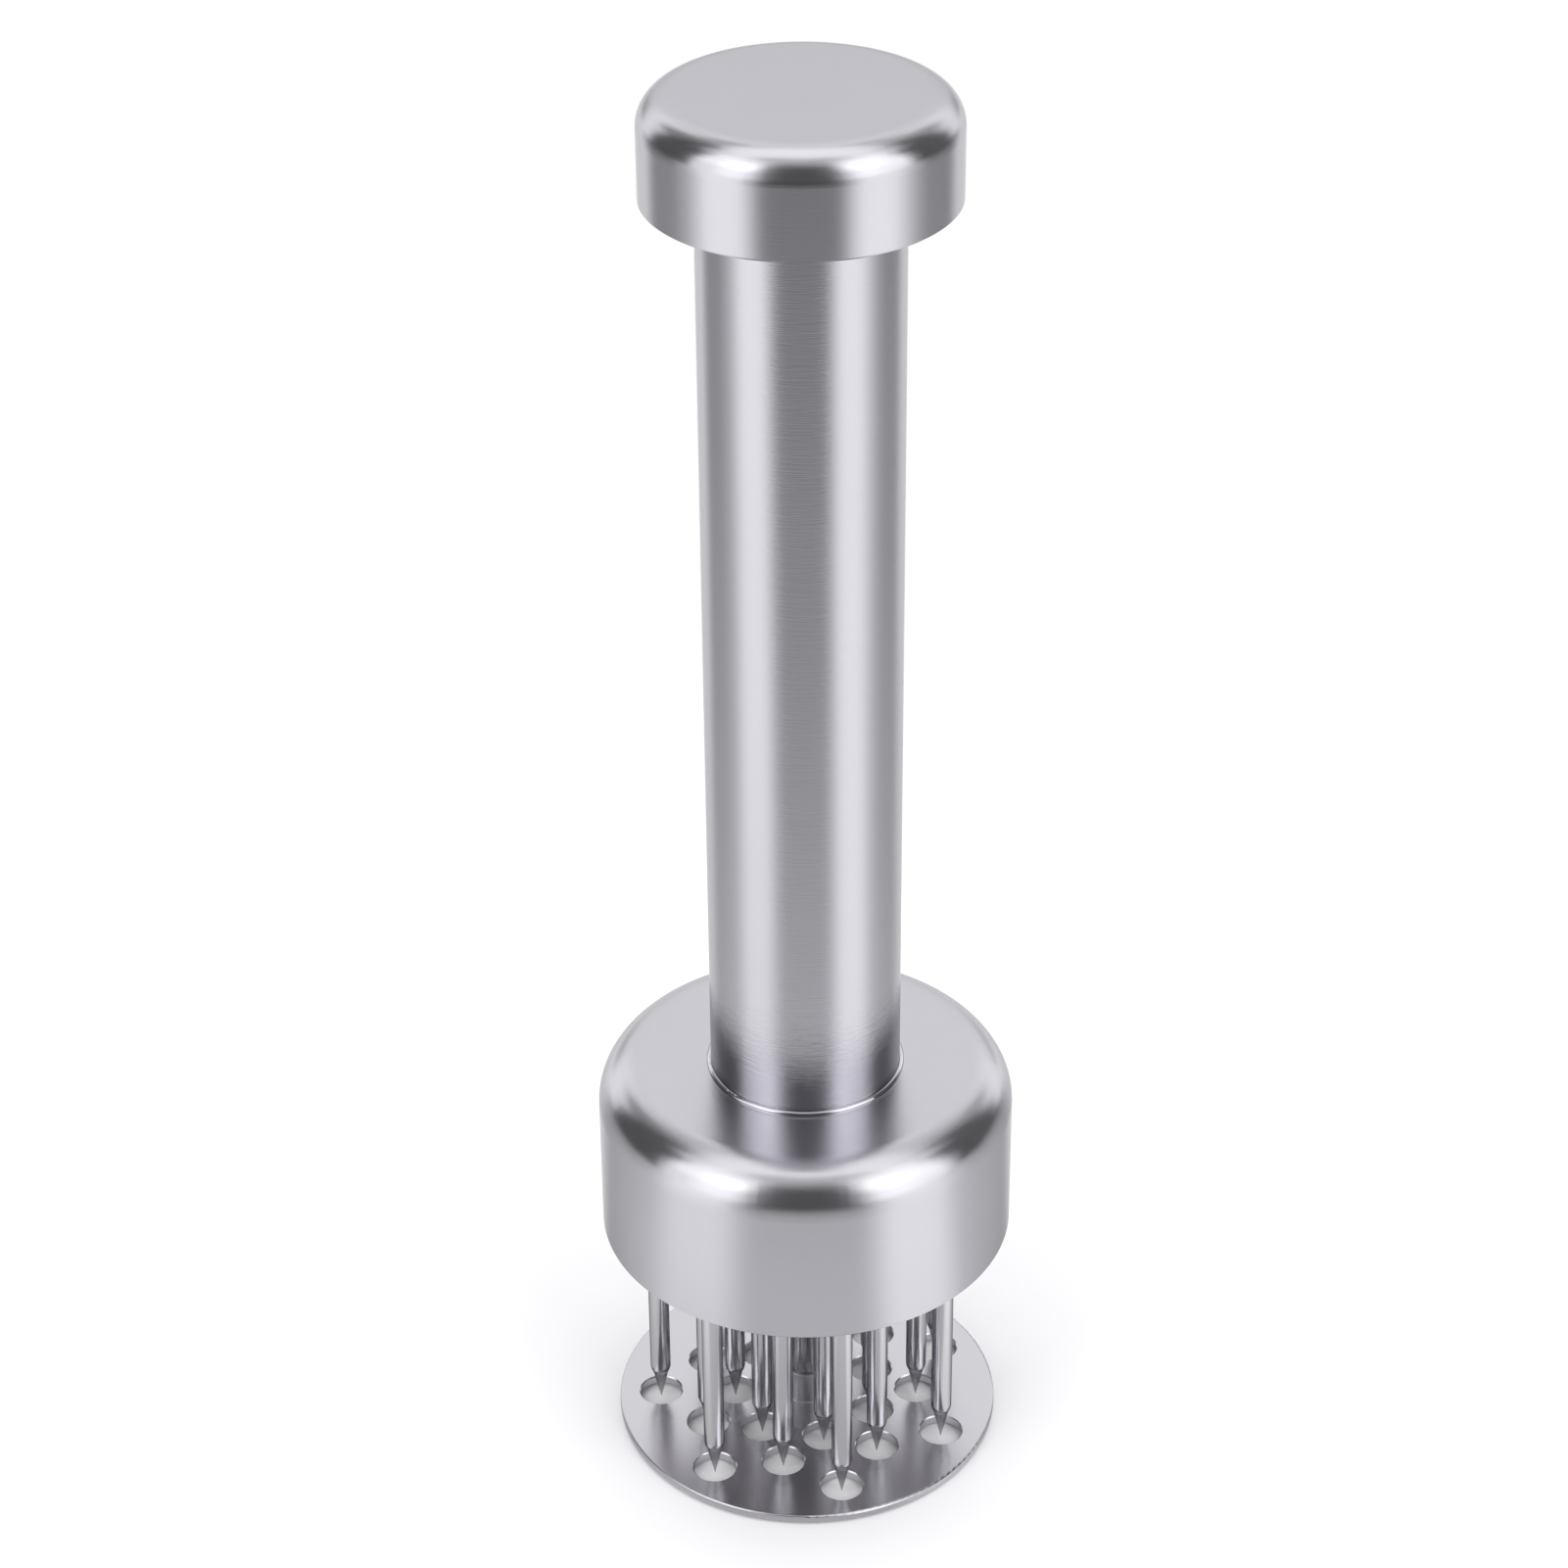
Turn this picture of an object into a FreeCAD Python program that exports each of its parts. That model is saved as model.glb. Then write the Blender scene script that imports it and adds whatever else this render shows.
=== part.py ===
import FreeCAD, Part
import math
import os

# Needle meat tenderizer with a sprung guard plate, in millimetres.
# +Z runs up the handle. The origin is the centre of the guard plate's underside, which the tool stands on.

# Head: a drawn cup, open downwards, over the needles.
head_diameter = 55.0
head_height = 25.0
head_shoulder = 6.0
head_wall = 1.2

# Handle tube, and the bead round its foot.
handle_diameter = 25.0
handle_length = 122.5
handle_wall = 1.2
foot_bead = 0.55
foot_bead_rounding = 0.44

# Cap on the handle's end.
cap_diameter = 38.0
cap_height = 12.8
cap_shoulder = 3.9
cap_wall = 1.2
cap_base_thickness = 2.0
cap_boss_height = 6.0
cap_stud_diameter = 8.0
cap_boss_wall = 4.0
plug_depth = 12.0

# Guard plate and the rod that carries it. The plate's travel ends when its boss meets the clamp's face.
guard_gap = 32.0
guard_thickness = 1.2
guard_edge_radius = 0.25
clamp_depth = 3.0
stop_clearance = 0.2
rod_diameter = 5.0
rod_spigot_diameter = 4.0
boss_height = 4.8
boss_shoulder = 0.5
boss_foot_radius = 0.25
screw_diameter = 3.0
screw_recess = 0.15
screw_length = 9.0
rod_head_thickness = 3.0
rod_nut_width = 7.0
rod_nut_height = 3.2

# Needles: rings of the same count, each ring turned half a step from the next.
needle_diameter = 2.8
needle_ring_names = ("inner", "middle", "outer")
needles_per_ring = 7
inner_ring_radius = 10.0
outer_ring_margin = 5.7
tip_height = 0.2
tip_diameter = 0.08
point_length = 4.4
shoulder_length = 1.0
shoulder_step = 0.4
shoulder_rounding = 2.0
needle_head_diameter = 4.2
needle_head_height = 1.2

# Discs that hold the needles, and the hub that ties them to the cup and the tube.
needle_plate_thickness = 5.0
backing_thickness = 2.0
hub_flange_thickness = 3.0
hub_flange_margin = 4.5
hub_waist_wall = 5.0
hub_spigot_length = 16.0
bush_wall = 1.8
bush_length = 10.0
bush_flange_thickness = 1.5
bush_flange_width = 2.6
clamp_thread_length = 12.0

# Return spring.
spring_wire = 1.3
spring_wire_sides = 8
spring_turns = 8
spring_side_clearance = 2.0
spring_seat_height = 2.0

# Clearances and small edge breaks.
press_clearance = 0.03
running_clearance = 0.05
guard_side_clearance = 0.2
guard_hole_clearance = 1.5
loose_clearance = 0.5
edge_break = 0.25
hole_break = 0.15
cut_past = 1.0

# Radii that follow from the sizes above.
head_radius = head_diameter / 2
head_bore = head_radius - head_wall
handle_radius = handle_diameter / 2
handle_bore = handle_radius - handle_wall
cap_radius = cap_diameter / 2
guard_radius = head_bore - guard_side_clearance
outer_ring_radius = guard_radius - outer_ring_margin
needle_radius = needle_diameter / 2
needle_head_radius = needle_head_diameter / 2
point_radius = needle_radius - shoulder_step
guard_hole_radius = needle_radius + guard_hole_clearance
rod_radius = rod_diameter / 2
rod_spigot_radius = rod_spigot_diameter / 2
boss_radius = rod_radius + boss_shoulder
screw_radius = screw_diameter / 2
screw_head_depth = guard_thickness - 2 * screw_recess
screw_head_radius = screw_radius + screw_head_depth
bush_bore = rod_radius + running_clearance
bush_radius = bush_bore + bush_wall
clamp_nut_width = 2 * (bush_radius + bush_flange_width)
hub_flange_radius = handle_radius + hub_flange_margin
hub_spigot_radius = handle_bore - press_clearance
spring_outer = handle_bore - spring_side_clearance
spring_inner = spring_outer - spring_wire
stud_radius = cap_stud_diameter / 2

# Levels up the axis.
boss_top = guard_thickness + boss_height
head_rim = guard_thickness + guard_gap
head_top = head_rim + head_height
clamp_face = head_rim + clamp_depth
guard_stroke = clamp_face - boss_top - stop_clearance
needle_plate_bottom = clamp_face + bush_flange_thickness
needle_plate_top = needle_plate_bottom + needle_plate_thickness
hub_bottom = needle_plate_top + backing_thickness
hub_shoulder = head_top - head_wall
hub_top = head_top + hub_spigot_length
rod_bush_top = hub_top + bush_flange_thickness
rod_head_bottom = rod_bush_top + stop_clearance
spring_bottom = rod_head_bottom + rod_head_thickness
rod_nut_bottom = spring_bottom + spring_seat_height
rod_top = rod_nut_bottom + rod_nut_height + loose_clearance
cap_rim = head_top + handle_length
cap_top = cap_rim + cap_height
spring_top = cap_rim - plug_depth
stud_top = cap_rim + cap_base_thickness + cap_boss_height

up = FreeCAD.Vector(0, 0, 1)
rounded = "rounded"


def axis_point(radius, height):
    """A point of a turned part's half section."""
    return FreeCAD.Vector(radius, 0, height)


def worked_corner(before, corner, after, size, is_round):
    """A corner's two ends, and the edges between them: none if sharp, an arc if round, else a chamfer."""
    if size == 0:
        return corner, corner, []
    to_before = (before - corner).normalize()
    to_after = (after - corner).normalize()
    if not is_round:
        start = corner + to_before * size
        finish = corner + to_after * size
        return start, finish, [Part.makeLine(start, finish)]
    half_angle = to_before.getAngle(to_after) / 2
    reach = size / math.tan(half_angle)
    start = corner + to_before * reach
    finish = corner + to_after * reach
    middle = corner + (to_before + to_after).normalize() * (size / math.sin(half_angle) - size)
    return start, finish, [Part.Arc(start, middle, finish).toShape()]


def turned(outline):
    """Solid of revolution about Z. Each corner is (radius, height), with a chamfer's leg as a third value,
    or a fillet's radius and the word rounded as a third and fourth."""
    points = [axis_point(corner[0], corner[1]) for corner in outline]
    count = len(points)
    corners = []
    for i, corner in enumerate(outline):
        size = corner[2] if len(corner) > 2 else 0
        after = points[(i + 1) % count]
        corners.append(worked_corner(points[i - 1], points[i], after, size, corner[-1] is rounded))
    edges = []
    for i, (start, finish, between) in enumerate(corners):
        edges.extend(between)
        next_start = corners[(i + 1) % count][0]
        edges.append(Part.makeLine(finish, next_start))
    return Part.Face(Part.Wire(edges)).revolve(FreeCAD.Vector(0, 0, 0), up, 360)


def round_point(radius, degrees, height):
    """A point at an angle round the axis."""
    turn = math.radians(degrees)
    return FreeCAD.Vector(radius * math.cos(turn), radius * math.sin(turn), height)


def hexagon(across_flats, bottom, height):
    """Upright hexagonal prism on the axis, its lower corners turned off at 30 degrees."""
    corner_radius = across_flats / 2 / math.cos(math.radians(30))
    corners = [round_point(corner_radius, 60 * i, bottom) for i in range(7)]
    prism = Part.Face(Part.makePolygon(corners)).extrude(up * height)
    face_radius = across_flats / 2 - edge_break
    cone_height = (corner_radius - face_radius) * math.tan(math.radians(30))
    envelope = turned([
        (0, bottom),
        (face_radius, bottom),
        (corner_radius, bottom + cone_height),
        (corner_radius, bottom + height),
        (0, bottom + height),
    ])
    return prism.common(envelope)


def bore(radius, bottom, top):
    """Round tool for a hole on the axis."""
    return Part.makeCylinder(radius, top - bottom, axis_point(0, bottom))


def ring_places():
    """Name and place of every needle; each ring is turned half a step from the one inside it."""
    ring_step = (outer_ring_radius - inner_ring_radius) / (len(needle_ring_names) - 1)
    needle_step = 360 / needles_per_ring
    places = []
    for ring, name in enumerate(needle_ring_names):
        radius = inner_ring_radius + ring * ring_step
        first_angle = 180 + ring * needle_step / 2
        for i in range(needles_per_ring):
            place = round_point(radius, first_angle + i * needle_step, 0)
            places.append((f"needle_{name}_{i + 1}", place))
    return places


def at_every_needle(tool):
    """One copy of a tool on each needle's axis."""
    copies = []
    for name, place in ring_places():
        copy = tool.copy()
        copy.translate(place)
        copies.append(copy)
    return copies


def head_shell():
    """Drawn cup with a rolled shoulder and a hole for the hub in its flat top."""
    inner_shoulder = head_shoulder - head_wall
    hole = hub_spigot_radius + press_clearance
    return turned([
        (hole, head_top),
        (head_radius, head_top, head_shoulder, rounded),
        (head_radius, head_rim, edge_break),
        (head_bore, head_rim, edge_break),
        (head_bore, hub_shoulder, inner_shoulder, rounded),
        (hole, hub_shoulder),
    ])


def handle_tube():
    return turned([
        (handle_bore, head_top),
        (handle_radius, head_top),
        (handle_radius, cap_rim, edge_break),
        (handle_bore, cap_rim, edge_break),
    ])


def foot_ring():
    """Thin bead that fills the corner between the tube's foot and the head."""
    inner = handle_radius + press_clearance
    outer = handle_radius + foot_bead
    return turned([
        (inner, head_top),
        (outer, head_top),
        (outer, head_top + foot_bead, foot_bead_rounding, rounded),
        (inner, head_top + foot_bead),
    ])


def cap_shell():
    """Drawn cap with a rolled shoulder, closed by its base."""
    bore_radius = cap_radius - cap_wall
    return turned([
        (0, cap_top - cap_wall),
        (0, cap_top),
        (cap_radius, cap_top, cap_shoulder, rounded),
        (cap_radius, cap_rim, edge_break),
        (bore_radius, cap_rim),
        (bore_radius, cap_top - cap_wall, cap_shoulder - cap_wall, rounded),
    ])


def cap_base():
    """Disc in the cap's mouth with a tall boss that turns onto the plug's stud."""
    hole = stud_radius + running_clearance
    boss = hole + cap_boss_wall
    floor = cap_rim + cap_base_thickness
    return turned([
        (hole, cap_rim),
        (cap_radius - cap_wall - press_clearance, cap_rim),
        (cap_radius - cap_wall - press_clearance, floor, edge_break),
        (boss, floor, 2 * edge_break),
        (boss, stud_top, edge_break),
        (hole, stud_top),
    ])


def tube_plug():
    """Plug pressed into the tube's end: a nose and seat for the spring below, a stud for the cap above."""
    nose = spring_inner - loose_clearance
    return turned([
        (0, spring_top - spring_seat_height),
        (nose, spring_top - spring_seat_height, edge_break),
        (nose, spring_top),
        (hub_spigot_radius, spring_top, edge_break),
        (hub_spigot_radius, cap_rim),
        (stud_radius, cap_rim),
        (stud_radius, stud_top, 2 * edge_break),
        (0, stud_top),
    ])


def head_hub():
    """Turned spool under the cup's top, with a long spigot up into the tube."""
    waist = bush_radius + hub_waist_wall
    bush_hole = bush_radius + press_clearance
    rod_hole = rod_radius + loose_clearance
    return turned([
        (bush_hole, hub_bottom),
        (hub_flange_radius, hub_bottom, edge_break),
        (hub_flange_radius, hub_bottom + hub_flange_thickness, edge_break),
        (waist, hub_bottom + hub_flange_thickness),
        (waist, hub_shoulder - hub_flange_thickness),
        (hub_flange_radius, hub_shoulder - hub_flange_thickness, edge_break),
        (hub_flange_radius, hub_shoulder, edge_break),
        (hub_spigot_radius, hub_shoulder),
        (hub_spigot_radius, hub_top, edge_break),
        (bush_hole, hub_top),
        (bush_hole, hub_top - bush_length - loose_clearance),
        (rod_hole, hub_top - bush_length - loose_clearance),
        (rod_hole, hub_bottom + clamp_thread_length + loose_clearance),
        (bush_hole, hub_bottom + clamp_thread_length + loose_clearance),
    ])


def clamp_bush():
    """Guide bush with a hexagon head; screwed up into the hub, it clamps both discs."""
    top = hub_bottom + clamp_thread_length
    sleeve = turned([
        (0, needle_plate_bottom),
        (bush_radius, needle_plate_bottom),
        (bush_radius, top, edge_break),
        (0, top),
    ])
    nut = hexagon(clamp_nut_width, clamp_face, bush_flange_thickness)
    return nut.fuse(sleeve).removeSplitter().cut(bore(bush_bore, clamp_face - cut_past, top + cut_past))


def rod_bush():
    """Flanged bush at the hub's top; the rod's head stops on its flange."""
    return turned([
        (bush_bore, hub_top - bush_length),
        (bush_radius, hub_top - bush_length, edge_break),
        (bush_radius, hub_top),
        (bush_radius + bush_flange_width, hub_top),
        (bush_radius + bush_flange_width, rod_bush_top, edge_break),
        (bush_bore, rod_bush_top, edge_break),
    ])


def needle_plate():
    """Thick disc in the cup with a counterbored hole for every needle."""
    rim = head_bore - press_clearance
    blank = turned([
        (bush_radius + press_clearance, needle_plate_bottom),
        (rim, needle_plate_bottom, edge_break),
        (rim, needle_plate_top, edge_break),
        (bush_radius + press_clearance, needle_plate_top),
    ])
    seat = needle_plate_top - needle_head_height
    tool = bore(needle_radius + press_clearance, needle_plate_bottom - cut_past, needle_plate_top)
    tool = tool.fuse(bore(needle_head_radius + press_clearance, seat, needle_plate_top + cut_past))
    return blank.cut(at_every_needle(tool))


def backing_plate():
    """Plain disc that holds the needles' heads down."""
    rim = outer_ring_radius + needle_head_diameter
    return turned([
        (bush_radius + press_clearance, needle_plate_top),
        (rim, needle_plate_top, edge_break),
        (rim, hub_bottom, edge_break),
        (bush_radius + press_clearance, hub_bottom),
    ])


def needle():
    """Round needle on the axis: a long turned point, a rolled shoulder, a shank, and a head that sits in
    the counterbore."""
    shoulder_bottom = tip_height + point_length
    shoulder_top = shoulder_bottom + shoulder_length
    head_bottom = needle_plate_top - needle_head_height
    return turned([
        (0, tip_height),
        (tip_diameter / 2, tip_height),
        (point_radius, shoulder_bottom),
        (needle_radius, shoulder_top, shoulder_rounding, rounded),
        (needle_radius, head_bottom),
        (needle_head_radius, head_bottom),
        (needle_head_radius, needle_plate_top),
        (0, needle_plate_top),
    ])


def guard_plate():
    """Thin disc with a clear hole round every needle and a countersunk hole for the rod's screw."""
    blank = turned([
        (0, 0),
        (guard_radius, 0, edge_break),
        (guard_radius, guard_thickness, guard_edge_radius, rounded),
        (0, guard_thickness),
    ])
    tool = turned([
        (0, -cut_past),
        (guard_hole_radius, -cut_past),
        (guard_hole_radius, guard_thickness - hole_break),
        (guard_hole_radius + hole_break, guard_thickness),
        (guard_hole_radius + hole_break, guard_thickness + cut_past),
        (0, guard_thickness + cut_past),
    ])
    screw_mouth = bore(screw_head_radius + running_clearance, -cut_past, screw_recess)
    return blank.cut(at_every_needle(tool)).cut([screw_form(running_clearance, boss_top), screw_mouth])


def screw_form(clearance, top):
    """Countersunk screw grown by a clearance, its head a little above the plate's underside."""
    head = screw_head_radius + clearance
    shank = screw_radius + clearance
    return turned([
        (0, screw_recess),
        (head, screw_recess),
        (shank, screw_recess + screw_head_depth),
        (shank, top),
        (0, top),
    ])


def plate_boss():
    """Collar between the plate and the rod's shoulder, with a small bead round its foot."""
    foot = boss_radius + boss_foot_radius
    hole = rod_spigot_radius + running_clearance
    return turned([
        (hole, guard_thickness),
        (foot, guard_thickness),
        (foot, guard_thickness + boss_foot_radius, boss_foot_radius / 2),
        (boss_radius, guard_thickness + boss_foot_radius),
        (boss_radius, boss_top, edge_break / 2),
        (hole, boss_top),
    ])


def guide_rod():
    """Rod with a spigot at each end: tapped for the screw below, threaded for the nut above."""
    tapped_top = guard_thickness + screw_length
    rod = turned([
        (0, guard_thickness),
        (rod_spigot_radius, guard_thickness),
        (rod_spigot_radius, boss_top),
        (rod_radius, boss_top),
        (rod_radius, rod_head_bottom),
        (rod_spigot_radius, rod_head_bottom),
        (rod_spigot_radius, rod_top, edge_break),
        (0, rod_top),
    ])
    return rod.cut(bore(screw_radius + press_clearance, guard_thickness - cut_past, tapped_top))


def rod_head():
    """Collar that stops on the rod bush and centres the spring."""
    seat = spring_outer + loose_clearance
    nose = spring_inner - loose_clearance
    hole = rod_spigot_radius + press_clearance
    return turned([
        (hole, rod_head_bottom),
        (seat, rod_head_bottom, edge_break),
        (seat, spring_bottom, edge_break),
        (nose, spring_bottom),
        (nose, rod_nut_bottom, edge_break),
        (hole, rod_nut_bottom),
    ])


def rod_nut():
    nut = hexagon(rod_nut_width, rod_nut_bottom, rod_nut_height)
    return nut.cut(bore(rod_spigot_radius + press_clearance, rod_nut_bottom - cut_past, rod_top))


def guard_screw():
    return screw_form(0, screw_length)


def return_spring():
    """Open coil between the rod's head and the plug, its wire's section drawn with eight sides."""
    half_wire = spring_wire / 2
    coil_radius = spring_outer - half_wire
    start = spring_bottom + half_wire
    length = spring_top - spring_bottom - spring_wire
    helix = Part.makeHelix(length / spring_turns, length, coil_radius)
    helix.translate(axis_point(0, start))
    corners = []
    for i in range(spring_wire_sides + 1):
        angle = 2 * math.pi * i / spring_wire_sides
        across = half_wire * math.cos(angle)
        along = half_wire * math.sin(angle)
        corners.append(axis_point(coil_radius + across, start + along))
    return Part.Wire(helix.Edges).makePipeShell([Part.makePolygon(corners)], True, True)


def write(name, shape):
    shape.exportStep(f"parts/{name}.step")


os.makedirs("parts", exist_ok=True)

for make in (
    head_shell, handle_tube, foot_ring, cap_shell, cap_base, tube_plug, head_hub, clamp_bush, rod_bush,
    needle_plate, backing_plate, guard_plate, plate_boss, guide_rod, rod_head, rod_nut, guard_screw,
    return_spring,
):
    write(make.__name__, make())

blank_needle = needle()
for needle_name, needle_place in ring_places():
    placed_needle = blank_needle.copy()
    placed_needle.translate(needle_place)
    write(needle_name, placed_needle)

print(f"The guard travels {guard_stroke:.2f} mm.")
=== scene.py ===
import math

import bpy
import numpy as np
from mathutils import Euler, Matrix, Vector


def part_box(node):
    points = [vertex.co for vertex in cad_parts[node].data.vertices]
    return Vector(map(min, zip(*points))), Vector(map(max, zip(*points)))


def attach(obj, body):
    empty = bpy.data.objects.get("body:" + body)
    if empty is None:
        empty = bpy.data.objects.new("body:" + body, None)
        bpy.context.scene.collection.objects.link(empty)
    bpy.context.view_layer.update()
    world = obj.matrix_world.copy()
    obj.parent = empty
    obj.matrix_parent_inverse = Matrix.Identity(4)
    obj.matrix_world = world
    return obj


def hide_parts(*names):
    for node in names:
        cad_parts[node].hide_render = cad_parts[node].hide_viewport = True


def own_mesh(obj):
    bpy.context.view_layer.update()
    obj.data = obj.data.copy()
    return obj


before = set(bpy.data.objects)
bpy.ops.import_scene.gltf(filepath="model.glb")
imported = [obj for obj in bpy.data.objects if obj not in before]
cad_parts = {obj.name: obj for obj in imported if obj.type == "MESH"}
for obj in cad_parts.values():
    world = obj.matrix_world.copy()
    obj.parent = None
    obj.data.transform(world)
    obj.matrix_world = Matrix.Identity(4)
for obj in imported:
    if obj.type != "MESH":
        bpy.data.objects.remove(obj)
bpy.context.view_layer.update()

scene = bpy.context.scene

# Needle meat tenderizer with a sprung guard plate. Metres, +Z up the handle, origin under the guard plate.
# The CAD nodes are the object. This script finishes their metal, adds the spring in round wire and the
# plate's screw with its thread and socket, and stands the tool on a pale floor in a studio of soft panels.

mm = 0.001


# Short ways to build a shader tree.

def addNode(tree, kind, **inputs):
    node = tree.nodes.new(kind)
    for name, value in inputs.items():
        node.inputs[name.replace("_", " ")].default_value = value
    return node


def feed(tree, value, socket):
    # A number is written on the socket; anything else is linked to it.
    if isinstance(value, (int, float)):
        socket.default_value = value
    else:
        tree.links.new(value, socket)


def calc(tree, operation, *values):
    node = tree.nodes.new("ShaderNodeMath")
    node.operation = operation
    for i, value in enumerate(values):
        feed(tree, value, node.inputs[i])
    return node.outputs[0]


def ramp(tree, value, fromLow, fromHigh, toLow=0.0, toHigh=1.0):
    # A value's range mapped onto another, eased at both ends.
    node = tree.nodes.new("ShaderNodeMapRange")
    node.interpolation_type = "SMOOTHSTEP"
    for socket, number in zip(node.inputs, (value, fromLow, fromHigh, toLow, toHigh)):
        feed(tree, number, socket)
    return node.outputs["Result"]


def blendValue(tree, share, first, second):
    # first where share is 0, second where it is 1.
    gap = calc(tree, "SUBTRACT", second, first)
    return calc(tree, "MULTIPLY_ADD", share, gap, first)


def blendColour(tree, share, first, second):
    # The same for colours; each is a socket or three numbers.
    node = tree.nodes.new("ShaderNodeMix")
    node.data_type = "RGBA"
    feed(tree, share, node.inputs["Factor"])
    for name, colour in (("A", first), ("B", second)):
        if isinstance(colour, tuple):
            node.inputs[name].default_value = (*colour, 1)
        else:
            tree.links.new(colour, node.inputs[name])
    return node.outputs["Result"]


def splitVector(tree, vector):
    node = tree.nodes.new("ShaderNodeSeparateXYZ")
    tree.links.new(vector, node.inputs[0])
    return node.outputs


def joinVector(tree, *values):
    node = tree.nodes.new("ShaderNodeCombineXYZ")
    for i, value in enumerate(values):
        feed(tree, value, node.inputs[i])
    return node.outputs[0]


def noise(tree, vector, scale, detail, roughness):
    node = addNode(tree, "ShaderNodeTexNoise", Detail=detail, Roughness=roughness)
    feed(tree, scale, node.inputs["Scale"])
    tree.links.new(vector, node.inputs["Vector"])
    return node.outputs["Fac"]


def lengthOf(tree, x, y):
    return calc(tree, "SQRT", calc(tree, "MULTIPLY_ADD", x, x, calc(tree, "MULTIPLY", y, y)))


# Surface effects that several finishes share. Each puts out one value that lies about a half.

middleValue = 0.5


def newGroup(name, numbers, result):
    # It takes a vector and the named numbers, and puts out one number.
    tree = bpy.data.node_groups.new(name, "ShaderNodeTree")
    tree.interface.new_socket(name="Vector", in_out="INPUT", socket_type="NodeSocketVector")
    for socket in numbers:
        tree.interface.new_socket(name=socket, in_out="INPUT", socket_type="NodeSocketFloat")
    tree.interface.new_socket(name=result, in_out="OUTPUT", socket_type="NodeSocketFloat")
    return tree, tree.nodes.new("NodeGroupInput").outputs, tree.nodes.new("NodeGroupOutput").inputs


def useGroup(tree, group, vector, **values):
    node = tree.nodes.new("ShaderNodeGroup")
    node.node_tree = group
    tree.links.new(vector, node.inputs["Vector"])
    for name, value in values.items():
        node.inputs[name].default_value = value
    return node.outputs


turned = {
    "axisRadius": 0.3 * mm,  # the least radius that is divided by, so that the axis is safe
    "detail": 3.0,
    "roughness": 0.65,
}


def makeTurnedLines():
    # Tool lines that run round the axis: noise stretched along the turn and packed close across it. Across is
    # height minus radius, so one set of lines runs up a wall, over a shoulder and in across a flat top.
    tree, given, result = newGroup("turnedLines", ("Lines", "Streaks"), "Line")
    x, y, z = splitVector(tree, given["Vector"])
    radius = lengthOf(tree, x, y)
    safeRadius = calc(tree, "MAXIMUM", radius, turned["axisRadius"])
    across = calc(tree, "MULTIPLY", calc(tree, "SUBTRACT", z, radius), given["Lines"])
    alongX = calc(tree, "MULTIPLY", calc(tree, "DIVIDE", x, safeRadius), given["Streaks"])
    alongY = calc(tree, "MULTIPLY", calc(tree, "DIVIDE", y, safeRadius), given["Streaks"])
    packed = joinVector(tree, alongX, alongY, across)
    tree.links.new(noise(tree, packed, 1.0, turned["detail"], turned["roughness"]), result["Line"])
    return tree


drawn = {
    "stretch": 0.01,  # how fast a line changes along itself, against how fast it changes across
    "detail": 2.0,
    "roughness": 0.6,
}


def makeDrawnLines():
    # Draw lines that run along Z: noise packed close in X and Y and stretched up the part.
    tree, given, result = newGroup("drawnLines", ("Lines",), "Line")
    x, y, z = splitVector(tree, given["Vector"])
    lines = given["Lines"]
    along = calc(tree, "MULTIPLY", z, calc(tree, "MULTIPLY", lines, drawn["stretch"]))
    packed = joinVector(tree, calc(tree, "MULTIPLY", x, lines), calc(tree, "MULTIPLY", y, lines), along)
    tree.links.new(noise(tree, packed, 1.0, drawn["detail"], drawn["roughness"]), result["Line"])
    return tree


handling = {
    # detail and roughness of the broad clouds and of the small smudges
    "clouds": (4.0, 0.55),
    "smudges": (2.0, 0.5),
    "smudgesFiner": 7.0,
    "smudgesShare": 0.3,
}


def makeHandling():
    # Soft marks of use: broad clouds with small smudges blended in. Size is about how many clouds there are
    # to a metre.
    tree, given, result = newGroup("handling", ("Size",), "Mark")
    finer = calc(tree, "MULTIPLY", given["Size"], handling["smudgesFiner"])
    broad = noise(tree, given["Vector"], given["Size"], *handling["clouds"])
    small = noise(tree, given["Vector"], finer, *handling["smudges"])
    tree.links.new(blendValue(tree, handling["smudgesShare"], broad, small), result["Mark"])
    return tree


groups = {"turned": makeTurnedLines(), "drawn": makeDrawnLines(), "handling": makeHandling()}
print("shared effects made")


# Metal finishes. Each is the record's slot of that name. lay is the way that its lines run. roughness and
# spread set the gloss and how far lines and marks move it. lines and streaks are how closely the lines are
# packed across and along, and bump is the strength of their relief. depth is how far handling marks move the
# colour, and size is how many there are. edge is the specular tint, which darkens the metal towards its
# outline. A zone is its lowest and highest height, half the width of its soft borders, the roughness inside
# it, and the share of the colour that is left there.

stainless = (0.565, 0.557, 0.599)
brightSteel = (0.640, 0.633, 0.665)
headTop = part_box("head_shell")[1].z
# The needles' points are rougher, as ground, and darker. The darker colour is partly painted shade, and it is
# carried up over the shoulders' lower edge.
pointFinishAndShadeTop = 5.0 * mm  # the needles' duller points end here, partway up their shoulders
reliefDistance = 0.1 * mm

# What a finish has where it says nothing else.
usual = {
    "lay": "turned", "colour": stainless, "spread": 0.06, "streaks": 2.0, "depth": 0.03, "size": 90.0,
    "edge": 0.60, "zones": (),
}

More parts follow.
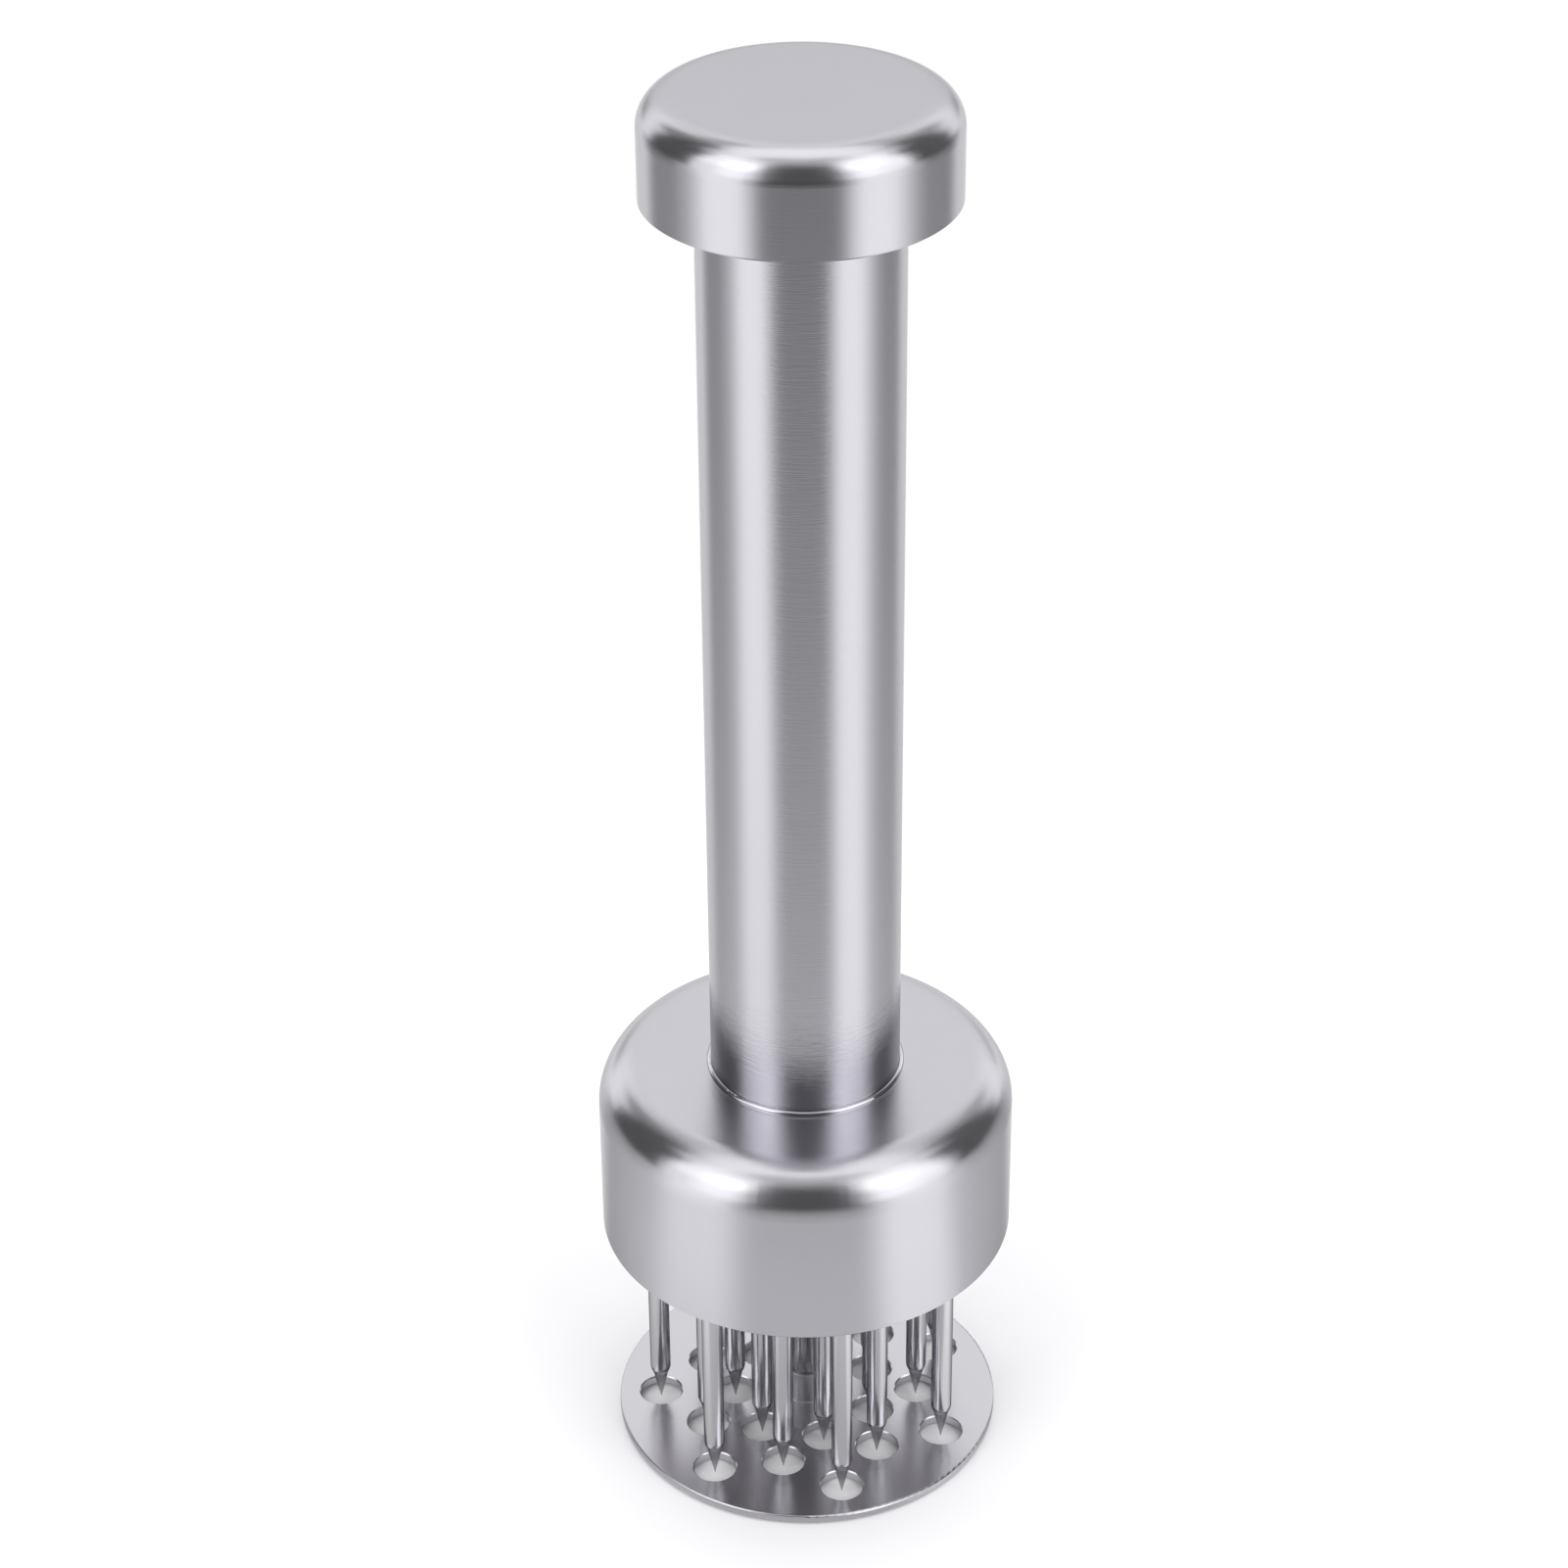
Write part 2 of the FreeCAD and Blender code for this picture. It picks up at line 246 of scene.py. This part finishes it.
finishes = {
    "brushed_shell": {
        "roughness": 0.19, "spread": 0.04, "lines": 7000.0, "streaks": 3.0, "bump": 0.12,
        # the head's flat top is a little duller
        "zones": ((headTop - 0.6 * mm, headTop + 3.0 * mm, 0.5 * mm, 0.25, 1.0),),
    },
    "brushed_tube": {"roughness": 0.19, "spread": 0.05, "lines": 7000.0, "streaks": 2.2, "bump": 0.28},
    "polished_needle": {
        "lay": "drawn", "colour": brightSteel, "roughness": 0.18, "spread": 0.02, "lines": 6000.0,
        "bump": 0.002, "edge": 0.35,
        # rougher ground points, with a darker colour that is partly painted shade
        "zones": ((-1.0 * mm, pointFinishAndShadeTop, 0.25 * mm, 0.32, 0.80),),
    },
    "satin_plate": {
        "colour": (0.605, 0.595, 0.632), "roughness": 0.24, "spread": 0.05, "lines": 3800.0, "streaks": 6.0,
        "bump": 0.010, "size": 140.0,
    },
    "turned_steel": {"colour": (0.560, 0.556, 0.580), "roughness": 0.38, "lines": 6000.0, "bump": 0.03},
    # the rod's darker colour is partly its own steel and partly painted shade, where it stands under the head
    "ground_rod": {
        "lay": "drawn", "colour": (0.42, 0.417, 0.432), "roughness": 0.22, "lines": 5000.0, "bump": 0.006,
    },
    "bush_brass": {"colour": (0.70, 0.52, 0.25), "roughness": 0.28, "lines": 5000.0, "bump": 0.04},
    "spring_steel": {"colour": (0.40, 0.40, 0.42), "roughness": 0.30, "lines": 3000.0, "bump": 0.03},
    "bright_bead": {"roughness": 0.12, "spread": 0.04, "lines": 3000.0, "bump": 0.01, "edge": 1.0},
}


def metal(name, lay, colour, roughness, spread, lines, streaks, bump, depth, size, edge, zones):
    material = bpy.data.materials.new(name)
    material.use_nodes = True
    tree = material.node_tree
    tree.nodes.clear()
    output = tree.nodes.new("ShaderNodeOutputMaterial")
    shader = addNode(tree, "ShaderNodeBsdfPrincipled", Metallic=1.0, Specular_Tint=(edge, edge, edge, 1))
    tree.links.new(shader.outputs[0], output.inputs["Surface"])
    place = tree.nodes.new("ShaderNodeTexCoord").outputs["Object"]
    if lay == "turned":
        line = useGroup(tree, groups["turned"], place, Lines=lines, Streaks=streaks)["Line"]
    else:
        line = useGroup(tree, groups["drawn"], place, Lines=lines)["Line"]
    mark = useGroup(tree, groups["handling"], place, Size=size)["Mark"]
    rough = calc(tree, "MULTIPLY_ADD", calc(tree, "SUBTRACT", line, middleValue), spread, roughness)
    rough = calc(tree, "MULTIPLY_ADD", calc(tree, "SUBTRACT", mark, middleValue), spread, rough)
    darker = tuple(c * (1 - depth) for c in colour)
    lighter = tuple(c * (1 + depth) for c in colour)
    base = blendColour(tree, mark, darker, lighter)
    height = splitVector(tree, place)[2]
    for low, high, border, zoneRoughness, share in zones:
        above = ramp(tree, height, low - border, low + border)
        below = ramp(tree, height, high - border, high + border, 1.0, 0.0)
        inside = calc(tree, "MULTIPLY", above, below)
        rough = blendValue(tree, inside, rough, zoneRoughness)
        # A zone's darker colour; on the needles' points it is partly painted shade.
        if share < 1:
            base = blendColour(tree, inside, base, tuple(c * share for c in colour))
    tree.links.new(rough, shader.inputs["Roughness"])
    tree.links.new(base, shader.inputs["Base Color"])
    relief = addNode(tree, "ShaderNodeBump", Strength=bump, Distance=reliefDistance)
    tree.links.new(line, relief.inputs["Height"])
    tree.links.new(relief.outputs[0], shader.inputs["Normal"])
    return material


materialOf = {name: metal(name, **(usual | values)) for name, values in finishes.items()}
print("finishes made")

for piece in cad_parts.values():
    for materialSlot in piece.material_slots:
        materialSlot.material = materialOf[materialSlot.material.name.split(".")[0]]
print("CAD nodes dressed")


# New pieces are closed skins over a grid of points: rings of points, each ring joined to the next.

sharpAngle = 30  # degrees; an edge that turns more than this stays sharp


def closedSkin(name, points, finish, body, stoodFor):
    rings, sides = points.shape[:2]
    index = np.arange(rings * sides).reshape(rings, sides)
    around = np.roll(index, -1, axis=1)
    quads = np.stack([index[:-1], around[:-1], around[1:], index[1:]], axis=-1).reshape(-1, 4)
    faces = quads.tolist() + [index[0, ::-1].tolist(), index[-1].tolist()]
    mesh = bpy.data.meshes.new(name)
    mesh.from_pydata(points.reshape(-1, 3).tolist(), [], faces)
    mesh.polygons.foreach_set("use_smooth", np.ones(len(faces), dtype=bool))
    mesh.set_sharp_from_angle(angle=math.radians(sharpAngle))
    mesh.materials.append(materialOf[finish])
    piece = bpy.data.objects.new(name, mesh)
    scene.collection.objects.link(piece)
    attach(piece, body)
    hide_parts(stoodFor)
    return piece


# Return spring: round wire, its end turns closed up flat and the turns between them open.

spring = {
    "wire": 1.3 * mm,
    "turns": 10,
    "closedTurns": 1.0,
    "easeTurns": 0.5,
    "stepsPerTurn": 48,
    "wireSides": 16,
}


def springPoints():
    # A circle carried along a helix. The circle stands across the wire: its two axes are the outward
    # direction and the one square to both the wire and that. The pitch is one wire in the closed turns and
    # eases to an even one between them, over easeTurns, so that the coil fills the height of its CAD node.
    low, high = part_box("return_spring")
    halfWire = spring["wire"] / 2
    coilRadius = (high.x - low.x) / 2 - halfWire
    turn = np.linspace(0, spring["turns"], spring["turns"] * spring["stepsPerTurn"] + 1)
    fromEnd = np.minimum(turn, spring["turns"] - turn)
    openness = np.clip((fromEnd - spring["closedTurns"]) / spring["easeTurns"] + 0.5, 0, 1)
    openness = openness ** 2 * (3 - 2 * openness)
    stepLength = turn[1] - turn[0]
    closedRise = spring["wire"] * turn
    openRise = np.concatenate([[0], np.cumsum((openness[1:] + openness[:-1]) / 2) * stepLength])
    rise = high.z - low.z - spring["wire"]
    openPitch = (rise - closedRise[-1]) / openRise[-1]
    height = low.z + halfWire + closedRise + openPitch * openRise
    angle = 2 * np.pi * turn
    flat = np.zeros_like(angle)
    outward = np.stack([np.cos(angle), np.sin(angle), flat], axis=-1)
    climb = np.gradient(height, angle)
    along = np.stack([-coilRadius * np.sin(angle), coilRadius * np.cos(angle), climb], axis=-1)
    along = along / np.linalg.norm(along, axis=-1, keepdims=True)
    acrossWire = np.cross(along, outward)
    middle = coilRadius * outward + np.stack([flat, flat, height], axis=-1)
    roundWire = 2 * np.pi * np.arange(spring["wireSides"]) / spring["wireSides"]
    ringX = np.cos(roundWire)[None, :, None] * outward[:, None, :]
    ringY = np.sin(roundWire)[None, :, None] * acrossWire[:, None, :]
    return middle[:, None, :] + halfWire * (ringX + ringY)


springPiece = closedSkin("return_spring_wire", springPoints(), "spring_steel", "handle", "return_spring")
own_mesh(springPiece)
print("spring wound")


# Guard screw: countersunk, with a hexagon socket below and a thread up its shank.

screw = {
    "shankDiameter": 3.0 * mm,
    "pitch": 0.5 * mm,
    "threadDepth": 0.25 * mm,
    "socketAcrossFlats": 2.0 * mm,
    "socketDepth": 0.7 * mm,
    "pointTaper": 0.5 * mm,
    "rowsPerPitch": 8,
    "sides": 96,
}


def screwPoints():
    # Rings from the socket's floor out over the head and up the shank. A hexagon's radius at an angle is its
    # half width over the cosine of the angle from the middle of the nearest flat. The thread takes a triangle
    # wave of height over pitch less one turn per turn off the shank's radius, so its crest climbs as it goes
    # round. The head is a cone of 90 degrees, so it is as high as it is wider than the shank.
    low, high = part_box("guard_screw")
    sides = screw["sides"]
    angle = 2 * np.pi * np.arange(sides) / sides
    fromFlat = np.mod(angle, np.pi / 3) - np.pi / 6
    hexagon = screw["socketAcrossFlats"] / 2 / np.cos(fromFlat)
    shank = screw["shankDiameter"] / 2
    headRadius = (high.x - low.x) / 2
    neck = low.z + headRadius - shank
    rows = round((high.z - neck) / screw["pitch"] * screw["rowsPerPitch"])
    shankHeight = np.linspace(neck, high.z, rows)
    wave = np.mod(shankHeight[:, None] / screw["pitch"] - angle[None, :] / (2 * np.pi), 1)
    cut = np.abs(2 * wave - 1) * screw["threadDepth"]
    runIn = np.clip((shankHeight - neck) / screw["pitch"], 0, 1)[:, None]
    taper = np.clip(1 - (high.z - shankHeight) / screw["pointTaper"], 0, 1)[:, None] * screw["threadDepth"]
    thread = np.minimum(shank - cut * runIn, shank - taper)
    radius = np.vstack([hexagon, hexagon, np.full(sides, headRadius), thread])
    height = np.concatenate([[low.z + screw["socketDepth"], low.z, low.z], shankHeight])
    height = np.repeat(height[:, None], sides, axis=1)
    return np.stack([radius * np.cos(angle), radius * np.sin(angle), height], axis=-1)


closedSkin("guard_screw_threaded", screwPoints(), "turned_steel", "guard", "guard_screw")
print("screw cut")


# Studio. The lamps light the floor and give the shadow. The metal doesn't see them: it sees panels of light
# and
# shade painted on the world's sphere, and a floor with painted light and shade on it. Angles are in degrees:
# azimuth 0 is the front, 90 is +X.

studio = {
    "distance": 3.0,  # of the lamps from the tool
    "worldOnSurfaces": 0.80,  # strength on surfaces that scatter light
    "plain": 1.12,  # brightness in the metal where there is no panel
    # azimuth, half angle, lowest and highest elevation, brightness, softness of its edges, and the azimuth
    # that it gains with each degree of height; each lies over those above it, and a half angle past 180 is
    # the whole turn
    "panels": {
        "back": (180, 50, 29, 50, 1.10, 5, 0),
        "ceiling": (0, 190, 61, 100, 1.42, 5, 0),
        "dipLeft": (-153, 11, 48, 60, 0.52, 5, 0),
        "dipRight": (153, 11, 48, 60, 0.70, 5, 0),
        "greyLeft": (-132, 10, 28, 62, 0.33, 5, 0),
        "greyRight": (132, 10, 28, 62, 0.50, 5, 0),
        "lowLeft": (-152, 8, -3, 11, 0.68, 5, 0),
        "lowRight": (152, 8, -3, 11, 0.75, 5, 0),
        "stripLeft": (-133, 9, -10, 35, 1.34, 5, -0.53),
        "stripRight": (133, 9, -10, 35, 1.34, 5, 0.53),
        "frontGrey": (0, 60, 56, 80, 0.80, 10, 0),
        "frontFlag": (0, 34, -40, 60, 0.115, 18, 0),
        "darkLeft": (-92, 13, -10, 48, 0.10, 5, 0),
        "darkRight": (92, 13, -10, 45, 0.10, 5, 0),
        "darkBackLeft": (-112, 12, -10, 60, 0.11, 5, 0),
        "darkBackRight": (112, 12, -10, 57, 0.13, 6, 0),
        "wingLeft": (-70, 10, 20, 61, 1.62, 6, 0),
        "wingLeftLow": (-70, 10, -10, 20, 1.25, 6, 0),
        "wingRight": (70, 10, 10, 61, 1.72, 6, 0),
        "wingRightLow": (70, 10, -10, 12, 1.50, 6, 0),
        "softboxLeft": (-47, 14, -10, 59, 1.68, 8, 0),
        "softboxRight": (47, 14, -10, 60, 1.76, 8, 0),
        "lampFaceLeft": (-47, 12, 27, 45, 2.50, 7, 0),
        "lampFaceRight": (47, 12, 27, 46, 2.50, 7, 0),
    },
    # azimuth, half angle, lowest and highest elevation, and radiance
    "lamps": {
        "lampLeft": (-48, 19, 0.5, 63, 2.2),
        "lampRight": (48, 19, 0.5, 64, 2.2),
    },
    "overhead": {"tilt": 15, "width": 3.0, "depth": 2.0, "radiance": 1.5},
}


def azimuthOf(tree, x, y):
    return calc(tree, "DEGREES", calc(tree, "ARCTAN2", x, calc(tree, "MULTIPLY", y, -1.0)))


def within(tree, angle, middle, half, soft):
    # 1 inside a range of azimuth, 0 outside it, eased over its soft edge; it wraps round behind.
    fromMiddle = calc(tree, "SUBTRACT", angle, middle)
    away = calc(tree, "ABSOLUTE", calc(tree, "WRAP", fromMiddle, 180.0, -180.0))
    return ramp(tree, away, half - soft, half + soft, 1.0, 0.0)


def panelsInMetal(tree):
    direction = tree.nodes.new("ShaderNodeTexCoord").outputs["Generated"]
    x, y, z = splitVector(tree, direction)
    azimuth = azimuthOf(tree, x, y)
    elevation = calc(tree, "DEGREES", calc(tree, "ARCSINE", z))
    seen = studio["plain"]
    for middle, half, lowest, highest, brightness, soft, slant in studio["panels"].values():
        angle = calc(tree, "MULTIPLY_ADD", elevation, -slant, azimuth) if slant else azimuth
        mask = within(tree, angle, middle, half, soft)
        mask = calc(tree, "MULTIPLY", mask, ramp(tree, elevation, lowest - soft, lowest + soft))
        mask = calc(tree, "MULTIPLY", mask, ramp(tree, elevation, highest - soft, highest + soft, 1.0, 0.0))
        seen = blendValue(tree, mask, seen, brightness)
    return seen


def makeWorld():
    # White for the camera, softer on surfaces that scatter light, and the panels in the metal.
    world = bpy.data.worlds.new("studioWorld")
    scene.world = world
    world.use_nodes = True
    world.cycles.sampling_method = "NONE"
    tree = world.node_tree
    tree.nodes.clear()
    path = tree.nodes.new("ShaderNodeLightPath").outputs
    clear = calc(tree, "MAXIMUM", path["Is Camera Ray"], path["Is Transmission Ray"])
    strength = blendValue(tree, clear, studio["worldOnSurfaces"], 1.0)
    strength = blendValue(tree, path["Is Glossy Ray"], strength, panelsInMetal(tree))
    background = addNode(tree, "ShaderNodeBackground", Color=(1, 1, 1, 1))
    tree.links.new(strength, background.inputs["Strength"])
    output = tree.nodes.new("ShaderNodeOutputWorld")
    tree.links.new(background.outputs[0], output.inputs["Surface"])


def addLamp(name, place, turn, width, height, radiance):
    # Area lamp; its power is radiance times area times pi.
    data = bpy.data.lights.new(name, "AREA")
    data.shape = "RECTANGLE"
    data.size = width
    data.size_y = height
    data.energy = radiance * width * height * math.pi
    lamp = bpy.data.objects.new(name, data)
    scene.collection.objects.link(lamp)
    lamp.location = place
    lamp.rotation_euler = turn
    lamp.visible_camera = False
    lamp.visible_glossy = False


def addUprightLamp(name, azimuth, halfAngle, lowest, highest, radiance):
    # It stands upright and faces the axis. Its sides are distance times the tangents of its angles.
    distance = studio["distance"]
    turn = math.radians(azimuth)
    foot = distance * math.tan(math.radians(lowest))
    top = distance * math.tan(math.radians(highest))
    middle = Vector((distance * math.sin(turn), -distance * math.cos(turn), (foot + top) / 2))
    width = 2 * distance * math.tan(math.radians(halfAngle))
    addLamp(name, middle, Euler((math.radians(90), 0, turn)), width, top - foot, radiance)


def addOverhead(tilt, width, depth, radiance):
    # It hangs above and a little behind, and faces the origin.
    lean = math.radians(tilt)
    place = Vector((0, math.sin(lean), math.cos(lean))) * studio["distance"]
    addLamp("overhead", place, Euler((-lean, 0, 0)), width, depth, radiance)


# Floor: pale paper that keeps the object's shadow near it and turns plain white for the camera farther off.
# Outside the plate the metal sees it as painted light and shade instead: sectors round the tool and a painted
# glow near it.

floor = {
    "half": 6.0,  # of its width
    "drop": 0.35 * mm,  # keeps its face clear of the plate's underside
    "paper": (0.865, 0.865, 0.885, 1.0),
    # radii between which it turns white for the camera
    "fadeStart": 0.05,
    "fadeEnd": 0.22,
    "soft": 11.0,  # of the sectors' edges, in degrees
    "plateShade": 1.0 * mm,  # past the plate's rim, over which the metal begins to see the sectors
    # painted glow that the metal sees it gain near the tool: its brightness, the reach of that, and the
    # distances over which it begins
    "foot": (0.60, 0.07, 0.03, 0.08),
    # painted brightness in the metal close by and far off, and the distance over which it changes
    "sides": (0.66, 0.14, 0.7),
    # sectors of painted light and shade, the pools being painted light beside the tool: azimuth and half
    # angle, and the same three as the sides
    "sectors": {
        "front": (0, 34, 0.60, 0.05, 0.6),
        "back": (181, 50, 0.80, 1.35, 0.12),
        "wingLeft": (-78, 12, 0.62, 0.70, 0.1),
        "wingRight": (76, 12, 0.52, 0.78, 0.1),
        "poolLeft": (-55, 20, 0.42, 1.38, 0.1),
        "poolRight": (54, 20, 0.76, 1.38, 0.1),
    },
}


def fadingOff(tree, radius, near, far, reach):
    # far plus near less far, times e to the minus distance over reach.
    falling = calc(tree, "EXPONENT", calc(tree, "MULTIPLY", radius, -1 / reach))
    return calc(tree, "MULTIPLY_ADD", falling, near - far, far)


# The floor as the metal sees it: painted light and shade by sector and distance, and a painted glow near the
# tool.
def paintedFloorInMetal(tree, azimuth, radius):
    seen = fadingOff(tree, radius, *floor["sides"])
    for middle, half, near, far, reach in floor["sectors"].values():
        mask = within(tree, azimuth, middle, half, floor["soft"])
        seen = blendValue(tree, mask, seen, fadingOff(tree, radius, near, far, reach))
    gained, reach, begins, whole = floor["foot"]
    begun = ramp(tree, radius, begins, whole)
    lift = calc(tree, "MULTIPLY", fadingOff(tree, radius, gained, 0.0, reach), begun)
    return calc(tree, "ADD", seen, lift)


def mixShaders(tree, share, first, second):
    node = tree.nodes.new("ShaderNodeMixShader")
    tree.links.new(share, node.inputs[0])
    tree.links.new(first.outputs[0], node.inputs[1])
    tree.links.new(second.outputs[0], node.inputs[2])
    return node


def makeFloor():
    half = floor["half"]
    corners = [(-half, -half), (half, -half), (half, half), (-half, half)]
    mesh = bpy.data.meshes.new("studioFloor")
    mesh.from_pydata([(x, y, -floor["drop"]) for x, y in corners], [], [(0, 1, 2, 3)])
    plane = bpy.data.objects.new("studioFloor", mesh)
    scene.collection.objects.link(plane)
    material = bpy.data.materials.new("studioFloor")
    material.use_nodes = True
    material.cycles.emission_sampling = "NONE"
    tree = material.node_tree
    tree.nodes.clear()
    place = tree.nodes.new("ShaderNodeTexCoord").outputs["Object"]
    x, y = splitVector(tree, place)[:2]
    radius = lengthOf(tree, x, y)
    path = tree.nodes.new("ShaderNodeLightPath").outputs
    paper = addNode(tree, "ShaderNodeBsdfDiffuse", Color=floor["paper"])
    white = addNode(tree, "ShaderNodeEmission", Color=(1, 1, 1, 1), Strength=1.0)
    # Beyond the plate the metal sees the floor glow with this painted light and shade.
    paintedFloorLight = addNode(tree, "ShaderNodeEmission", Color=(1, 1, 1, 1))
    tree.links.new(paintedFloorInMetal(tree, azimuthOf(tree, x, y), radius), paintedFloorLight.inputs["Strength"])
    fade = ramp(tree, radius, floor["fadeStart"], floor["fadeEnd"])
    seen = mixShaders(tree, calc(tree, "MULTIPLY", fade, path["Is Camera Ray"]), paper, white)
    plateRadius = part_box("guard_plate")[1].x
    clearOfPlate = ramp(tree, radius, plateRadius, plateRadius + floor["plateShade"])
    seen = mixShaders(tree, calc(tree, "MULTIPLY", clearOfPlate, path["Is Glossy Ray"]), seen, paintedFloorLight)
    output = tree.nodes.new("ShaderNodeOutputMaterial")
    tree.links.new(seen.outputs[0], output.inputs["Surface"])
    mesh.materials.append(material)


# The lens and the sensor are in millimetres, the angles in degrees.

camera = {
    "lens": 88.28,
    "sensor": 36.0,
    "place": (-0.00252, -0.41368, 0.35682),
    "pitchDown": 31.748,
    "roll": -0.477,
    "clipStart": 0.01,
    "clipEnd": 50.0,
}


def makeCamera():
    data = bpy.data.cameras.new("camera")
    data.lens = camera["lens"]
    data.sensor_width = camera["sensor"]
    data.clip_start = camera["clipStart"]
    data.clip_end = camera["clipEnd"]
    view = bpy.data.objects.new("camera", data)
    scene.collection.objects.link(view)
    view.location = camera["place"]
    level = Euler((math.radians(90 - camera["pitchDown"]), 0, 0)).to_matrix()
    roll = Euler((0, 0, math.radians(camera["roll"]))).to_matrix()
    view.rotation_euler = (level @ roll).to_euler()
    scene.camera = view


for name, values in studio["lamps"].items():
    addUprightLamp(name, *values)
addOverhead(**studio["overhead"])
makeWorld()
makeFloor()
makeCamera()
scene.view_settings.view_transform = "Standard"
print("studio set")
